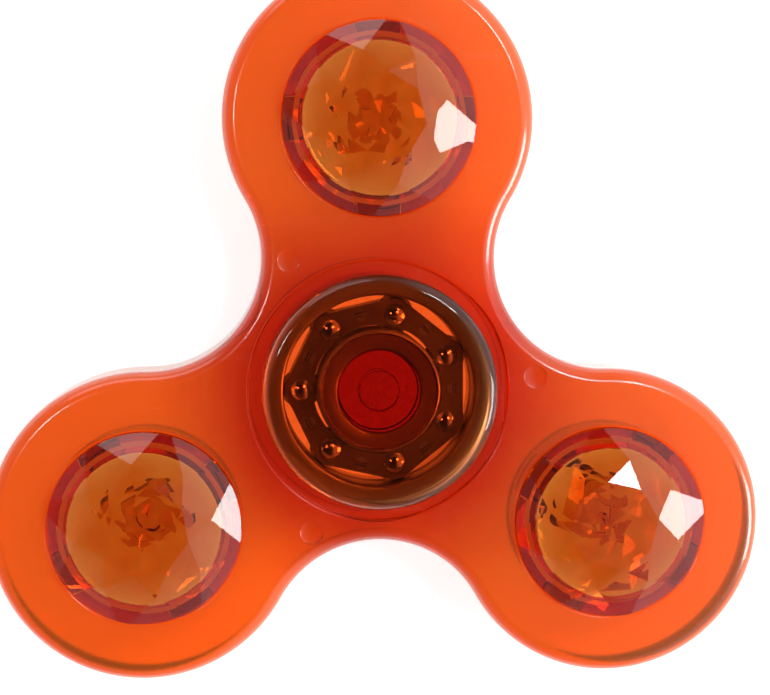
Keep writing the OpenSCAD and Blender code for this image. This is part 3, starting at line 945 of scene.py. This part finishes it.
class SPINNER_OT_caps(bpy.types.Operator):
    """Make the two finger caps, whose stems meet in the bearing"""

    bl_idname = "spinner.caps"
    bl_label = "Finger caps"

    def execute(self, context):
        s = context.scene.spinner_hub
        under = s.cap_thickness
        rest = under + s.boss_height
        end = s.cap_thickness + s.boss_height + s.stem_length
        disc = [[0, 0], [s.cap_radius, 0], [s.cap_radius, under], [s.boss_radius, under],
                [s.boss_radius, rest], [s.stem_radius, rest], [s.stem_radius, end]]
        bends = [0, s.cap_round, s.inner_round, 0.15 * MM, 0.1 * MM, 0.08 * MM, s.inner_round]
        tip = TOP - end + s.pin_grip
        pin = [[s.pin_radius, end], [s.pin_radius, tip], [0, tip]]
        socket_radius = s.pin_radius + s.pin_gap
        bottom = end - s.pin_grip - s.pin_relief
        socket = [[socket_radius, end], [socket_radius, bottom], [0, bottom]]
        lower = softened(disc + pin, bends + [0.1 * MM, s.inner_round, 0], 7)
        upper = softened(disc + socket, bends + [0.1 * MM, 0.1 * MM, 0], 7) * [1, -1] + [0, TOP]
        for name, profile in (("cap_bottom", lower), ("cap_top", upper)):
            piece = solid(f"finger_{name}", revolved(profile, 180))
            shaded(piece)
            placed(piece, "hub", name, cap_plastic(context.scene))
        return {"FINISHED"}


class SPINNER_OT_rings(bpy.types.Operator):
    """Make the bearing's outer and inner rings"""

    bl_idname = "spinner.rings"
    bl_label = "Bearing rings"

    def execute(self, context):
        s, look = context.scene.spinner_hub, context.scene.spinner_finishes
        steel = turned_steel("Ground_Steel", *shades(look.steel, 0.7), 0.3, 0.5, 9000, 0.004 * MM)
        for name, inner, outer, facing, body in (
            ("outer_ring", s.outer_land, s.ring_outer, -1, "spinner"),
            ("inner_ring", s.ring_bore, s.inner_land, 1, "hub"),
        ):
            profile = grooved_ring(s, inner, outer, facing)
            piece = solid(f"bearing_{name}", revolved(profile, 180, closed=True))
            shaded(piece)
            placed(piece, body, name, steel)
        return {"FINISHED"}


class SPINNER_OT_balls(bpy.types.Operator):
    """Make the bearing's balls"""

    bl_idname = "spinner.balls"
    bl_label = "Balls"

    def execute(self, context):
        s, look = context.scene.spinner_hub, context.scene.spinner_finishes
        steel = polished_steel("Polished_Steel", tuple(look.bright_steel))
        for i in range(BALLS):
            low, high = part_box(f"ball_{i + 1}")
            piece = solid(f"steel_ball_{i + 1}", ball_surface((low + high) / 2, s.ball_diameter / 2))
            piece.data.shade_smooth()
            placed(piece, f"ball_{i + 1}_body", f"ball_{i + 1}", steel)
        return {"FINISHED"}


class SPINNER_OT_cage(bpy.types.Operator):
    """Finish the cage halves and their rivets"""

    bl_idname = "spinner.cage"
    bl_label = "Cage"

    def execute(self, context):
        look = context.scene.spinner_finishes
        pressed = turned_steel("Pressed_Steel", *shades(look.dark_steel, 0.6), 0.28, 0.5, 2400, 0.006 * MM)
        head = turned_steel("Rivet_Steel", *shades(look.steel, 0.6), 0.2, 0.45, 4200, 0.006 * MM)
        for name, steel in (("cage_upper", pressed), ("cage_lower", pressed), ("cage_rivets", head)):
            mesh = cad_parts[name].data
            mesh.materials.clear()
            mesh.materials.append(steel)
        return {"FINISHED"}


class SPINNER_OT_stage(bpy.types.Operator):
    """Set up the floor, the lamps and the camera"""

    bl_idname = "spinner.stage"
    bl_label = "Stage"

    def execute(self, context):
        s = context.scene.spinner_stage
        self.floor(s)
        self.sky(context.scene, s)
        for name, at, width, depth, power in (
            ("Window", (0.574, -0.122, 0.381), 0.25, 0.30, 3.3),
            ("Ceiling_Right", (0.272, 0.213, 0.831), 0.12, 0.12, 1.1),
            ("Ceiling_Left", (-0.306, 0.102, 0.84), 0.10, 0.10, 0.6),
            ("Far_Wall", (-0.24, 0.66, 0.375), 0.50, 0.30, 0.9),
        ):
            self.lamp(name, at, width, depth, power)
        self.camera(context.scene, s)
        context.scene.view_settings.view_transform = "Standard"
        return {"FINISHED"}

    def floor(self, s):
        """A pale light table at height zero, with a faint mottle."""
        w = s.floor_half
        piece = solid("floor", (np.array([[-w, -w, 0], [w, -w, 0], [w, w, 0], [-w, w, 0]], float),
                                [[0, 1, 2, 3]]))
        made, tree, shader, _, place = material_base(
            "Pale_Floor", Emission_Color=(1, 1, 1, 1), Emission_Strength=s.table_glow,
            Roughness=0.9, Specular_IOR_Level=0.1,
        )
        flow = placed_group(tree, flow_group(), place, Scale=40.0, Light=(0.82, 0.82, 0.82, 1),
                            Dark=(0.79, 0.79, 0.79, 1))
        tree.links.new(flow.outputs["Colour"], shader.inputs["Base Color"])
        piece.data.materials.append(made)

    def sky(self, scene, s):
        """White surroundings that darken overhead, as in a room lit from its windows."""
        world = bpy.data.worlds.new("Soft_Sky")
        world.use_nodes = True
        tree = world.node_tree
        back = tree.nodes["Background"]
        place = node(tree, "ShaderNodeTexCoord")
        split = node(tree, "ShaderNodeSeparateXYZ")
        fade = node(tree, "ShaderNodeMapRange", interpolation_type="SMOOTHSTEP", inputs={
            "From Min": 0.1, "From Max": 0.97, "To Min": s.sky, "To Max": s.sky * s.zenith})
        side = node(tree, "ShaderNodeMapRange", interpolation_type="SMOOTHSTEP", inputs={
            "From Min": 0.1, "From Max": 0.5, "To Min": 0.0, "To Max": s.right_side})
        both = node(tree, "ShaderNodeMath", operation="MAXIMUM")
        tree.links.new(place.outputs["Generated"], split.inputs[0])
        tree.links.new(split.outputs["Z"], fade.inputs["Value"])
        tree.links.new(split.outputs["X"], side.inputs["Value"])
        tree.links.new(fade.outputs[0], both.inputs[0])
        tree.links.new(side.outputs[0], both.inputs[1])
        tree.links.new(both.outputs[0], back.inputs["Strength"])
        back.inputs["Color"].default_value = (1, 1, 1, 1)
        scene.world = world

    def lamp(self, name, at, width, depth, power):
        """A soft rectangular lamp that faces the spinner."""
        data = bpy.data.lights.new(name, "AREA")
        data.shape = "RECTANGLE"
        data.size, data.size_y, data.energy = width, depth, power
        made = bpy.data.objects.new(name, data)
        made.location = at
        made.rotation_mode = "QUATERNION"
        made.rotation_quaternion = (LAMP_AIM - Vector(at)).to_track_quat("-Z", "Y")
        bpy.context.scene.collection.objects.link(made)

    def camera(self, scene, s):
        """A camera over the spinner, a little to one side, with the first lobe at the top."""
        data = bpy.data.cameras.new("Camera")
        data.lens = s.lens
        data.clip_start, data.clip_end = 0.01, 10
        made = bpy.data.objects.new("Camera", data)
        at = Vector((s.camera_aside, s.camera_ahead, MID + s.camera_height))
        back = (at - Vector((s.aim_aside, s.aim_ahead, MID))).normalized()
        right = Vector((0, 1, 0)).cross(back).normalized()
        up = back.cross(right)
        made.matrix_world = Matrix.Translation(at) @ Matrix((right, up, back)).transposed().to_4x4()
        bpy.context.scene.collection.objects.link(made)
        scene.camera = made


class SPINNER_PT_maker(bpy.types.Panel):
    """Lists the spinner's pieces"""

    bl_idname = "SPINNER_PT_maker"
    bl_label = "Fidget Spinner"
    bl_space_type = "VIEW_3D"
    bl_region_type = "UI"
    bl_category = "Spinner"

    def draw(self, context):
        for step in STEPS:
            self.layout.operator(step.bl_idname)
        for group in SETTINGS:
            box = self.layout.box()
            for key in SETTINGS[group].__annotations__:
                box.prop(getattr(context.scene, group), key)


SETTINGS = {
    "spinner_body": BodySizes,
    "spinner_pods": PodSizes,
    "spinner_hub": HubSizes,
    "spinner_finishes": Finishes,
    "spinner_stage": StageSettings,
}
STEPS = (
    SPINNER_OT_body, SPINNER_OT_gems, SPINNER_OT_back_covers, SPINNER_OT_caps,
    SPINNER_OT_rings, SPINNER_OT_balls, SPINNER_OT_cage, SPINNER_OT_stage,
)


def register():
    """Adds the settings, the operators and the panel."""
    for kind in (*SETTINGS.values(), *STEPS, SPINNER_PT_maker):
        bpy.utils.register_class(kind)
    for name, kind in SETTINGS.items():
        setattr(bpy.types.Scene, name, bpy.props.PointerProperty(type=kind))


def unregister():
    """Takes them away again."""
    for name in SETTINGS:
        delattr(bpy.types.Scene, name)
    for kind in reversed((*SETTINGS.values(), *STEPS, SPINNER_PT_maker)):
        bpy.utils.unregister_class(kind)


def main():
    """Makes every piece and the stage."""
    register()
    bpy.ops.spinner.body()
    bpy.ops.spinner.gems()
    bpy.ops.spinner.back_covers()
    bpy.ops.spinner.caps()
    bpy.ops.spinner.rings()
    bpy.ops.spinner.balls()
    bpy.ops.spinner.cage()
    bpy.ops.spinner.stage()


if __name__ == "__main__":
    main()
